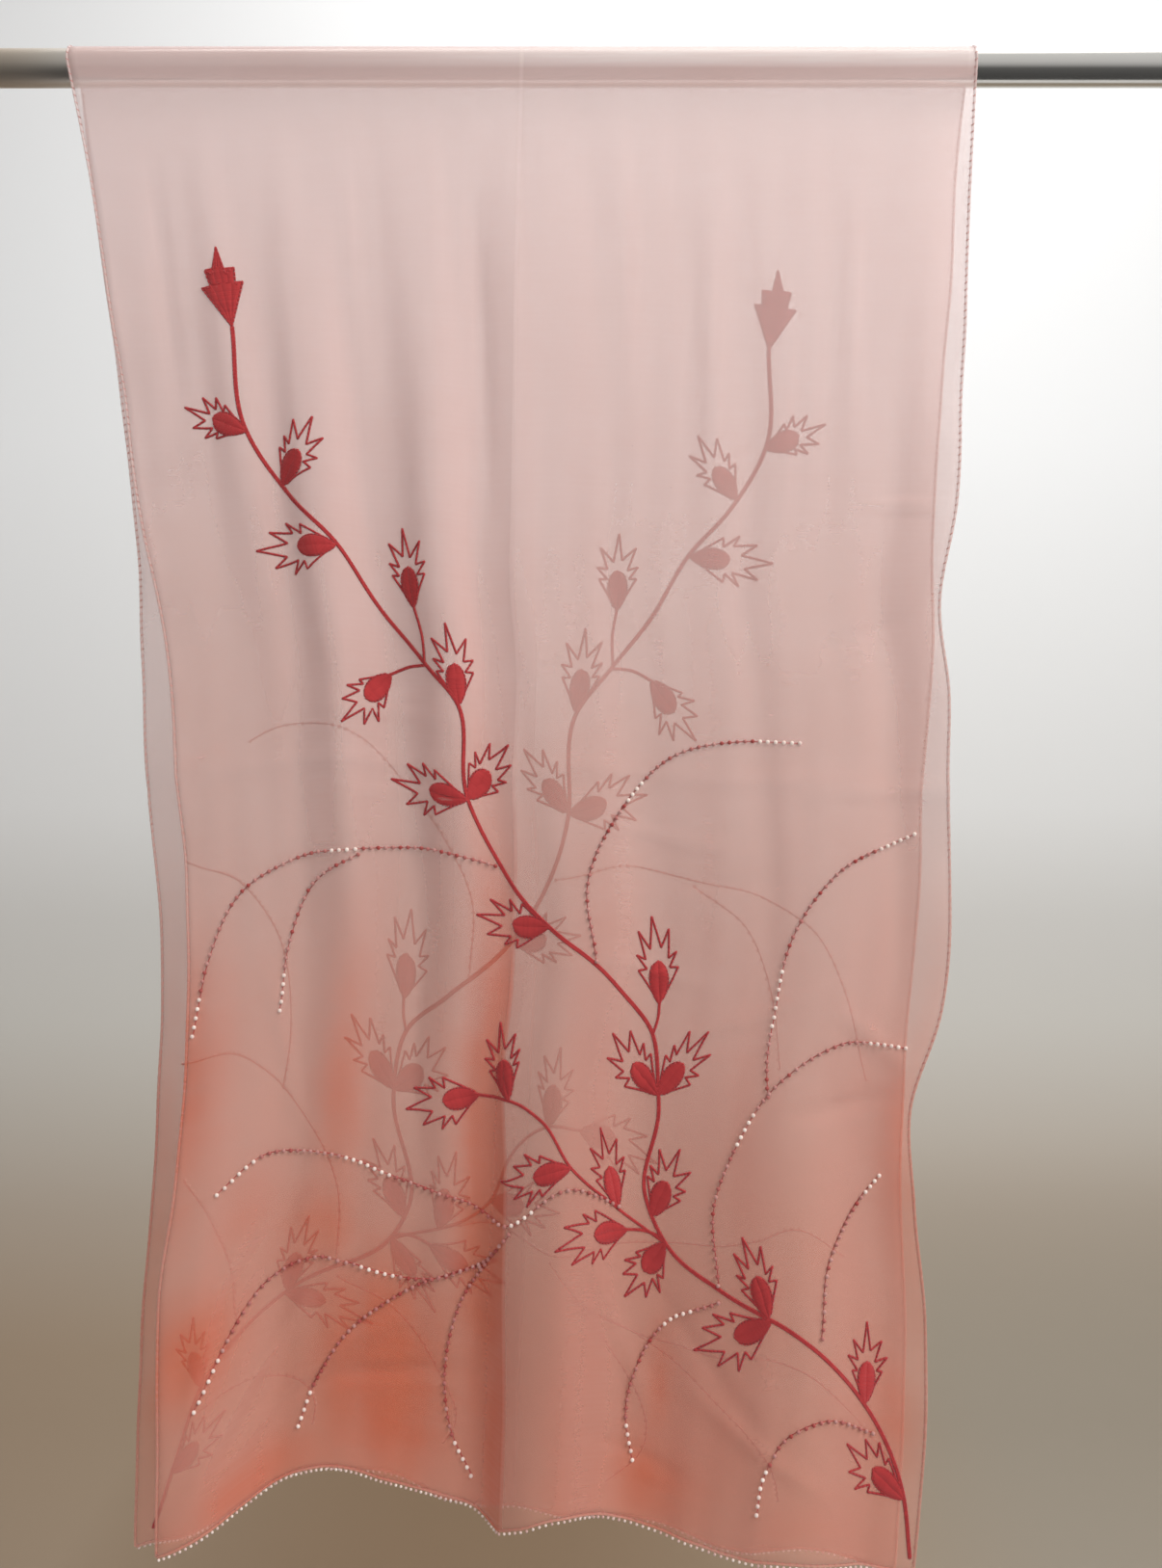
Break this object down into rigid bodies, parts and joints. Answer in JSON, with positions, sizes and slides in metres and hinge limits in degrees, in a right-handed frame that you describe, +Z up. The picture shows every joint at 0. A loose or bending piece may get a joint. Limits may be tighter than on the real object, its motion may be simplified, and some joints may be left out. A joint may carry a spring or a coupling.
{
  "type": "embroidered chiffon scarf hung over a rail",
  "caption": "Wide sheer scarf hung over a round steel rail, one fall in front and one behind, with pressed creases, soft folds and beaded rolled hems.",
  "frame": {"origin": "middle of the rail's axis, halfway along the rail and the scarf's width", "axes": "+X along the rail to the viewer's right, +Z up, and the front fall hangs on the -Y side, towards the viewer"},
  "size_m": [0.92, 0.1109, 1.0809],
  "materials": {
    "chiffon": "sheer crinkled chiffon, dyed from pale pink at the top to coral at the ends",
    "rolled_hem": "narrow rolled hem in the same chiffon, twice as dense",
    "embroidery": "crimson embroidery thread, lightly glossy",
    "beads": "small pearly glass beads",
    "steel": "polished stainless tube with fine drawn lines"
  },
  "bodies": {
    "root": {"rail": "steel", "front_fall": "chiffon", "crown": "chiffon", "back_fall": "chiffon", "side_hem_left": "rolled_hem", "side_hem_right": "rolled_hem", "front_end_hem": "rolled_hem", "back_end_hem": "rolled_hem"}
  },
  "joints": []
}
